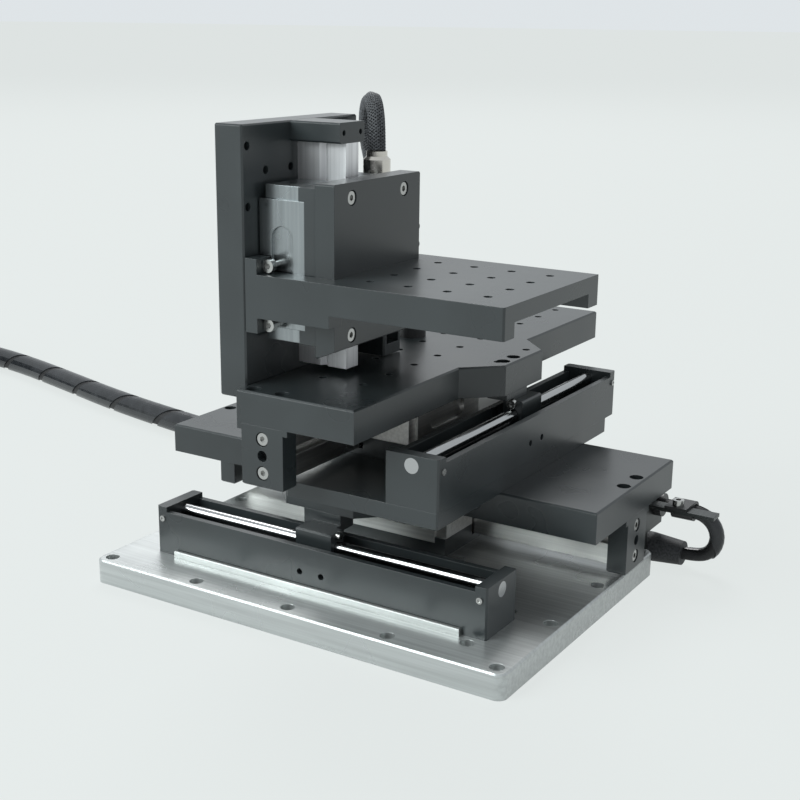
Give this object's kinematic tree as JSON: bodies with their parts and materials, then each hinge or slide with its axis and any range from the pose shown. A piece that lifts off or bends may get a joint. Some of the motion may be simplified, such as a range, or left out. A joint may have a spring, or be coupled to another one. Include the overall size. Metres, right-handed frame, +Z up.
{
  "type": "linear translation stage",
  "caption": "Three-axis linear translation stage: crossed slides on a base plate, shaft motors and a lifting platform with tapped holes.",
  "frame": {"origin": "centre of the base plate's underside", "axes": "+X along the base plate's long edge and the lower slide, +Y to the rear along the upper slide, +Z up"},
  "size_m": [0.5295, 0.186, 0.1562],
  "materials": {
    "black_anodised": "matte black anodised",
    "brushed_aluminium": "brushed",
    "bearing_steel": "ground",
    "rail_steel": "ground",
    "ground_shaft": "ground",
    "cage_brass": "sheet",
    "screw_steel": "plain",
    "connector_metal": "turned",
    "gland_plastic": "moulded",
    "braided_sleeve": "braided sleeve"
  },
  "bodies": {
    "base": {"base_plate": "brushed_aluminium", "x_locating_bar": "brushed_aluminium", "x_motor_housing": "black_anodised", "x_magnet_shaft": "ground_shaft", "x_base_screws": "screw_steel", "x_saddle": "black_anodised", "x_bearing_block": "bearing_steel", "x_bearing_end_caps": "bearing_steel", "x_rollers": "ground_shaft", "x_roller_cages": "cage_brass", "cable_bracket": "brushed_aluminium", "lead_gland": "gland_plastic", "lead_clip": "gland_plastic", "loop_lead": "braided_sleeve", "harness_boot": "gland_plastic", "harness": "braided_sleeve", "harness_coil": "braided_sleeve", "harness_plug": "connector_metal"},
    "x_table": {"x_table_plate": "black_anodised", "x_rail": "rail_steel", "x_end_block_left": "black_anodised", "x_end_block_right": "black_anodised", "x_drive_arm": "black_anodised", "x_slider": "black_anodised", "x_table_screws": "screw_steel", "y_base_plate": "black_anodised", "y_motor_housing": "black_anodised", "y_magnet_shaft": "ground_shaft", "y_base_screws": "screw_steel", "y_saddle": "black_anodised", "y_bearing_block": "bearing_steel", "y_bearing_end_caps": "bearing_steel", "y_rollers": "ground_shaft", "y_roller_cages": "cage_brass"},
    "y_table": {"y_table_plate": "black_anodised", "y_rail": "rail_steel", "y_end_block_front": "black_anodised", "y_end_block_rear": "black_anodised", "y_drive_arm": "black_anodised", "y_slider": "black_anodised", "y_table_screws": "screw_steel", "z_back_plate": "black_anodised", "z_plate_screws": "screw_steel", "z_rail": "rail_steel", "z_top_block": "black_anodised", "z_motor_housing": "black_anodised", "z_magnet_shaft": "ground_shaft", "z_connector": "connector_metal", "lift_gland": "gland_plastic", "lift_lead": "braided_sleeve"},
    "z_carriage": {"z_saddle": "black_anodised", "z_bearing_block": "bearing_steel", "z_bearing_end_caps": "bearing_steel", "z_rollers": "ground_shaft", "z_roller_cages": "cage_brass", "z_carriage_plate": "black_anodised", "z_carriage_screws": "screw_steel", "platform": "black_anodised", "z_slider": "black_anodised", "z_drive_arm": "black_anodised"}
  },
  "joints": [
    {"name": "x_slide", "type": "slide", "parent": "base", "child": "x_table", "axis": [1, 0, 0], "range_m": [-0.0383, 0.0417]},
    {"name": "y_slide", "type": "slide", "parent": "x_table", "child": "y_table", "axis": [0, 1, 0], "range_m": [-0.0515, 0.0285]},
    {"name": "z_slide", "type": "slide", "parent": "y_table", "child": "z_carriage", "axis": [0, 0, 1], "range_m": [-0.009, 0.01]}
  ]
}
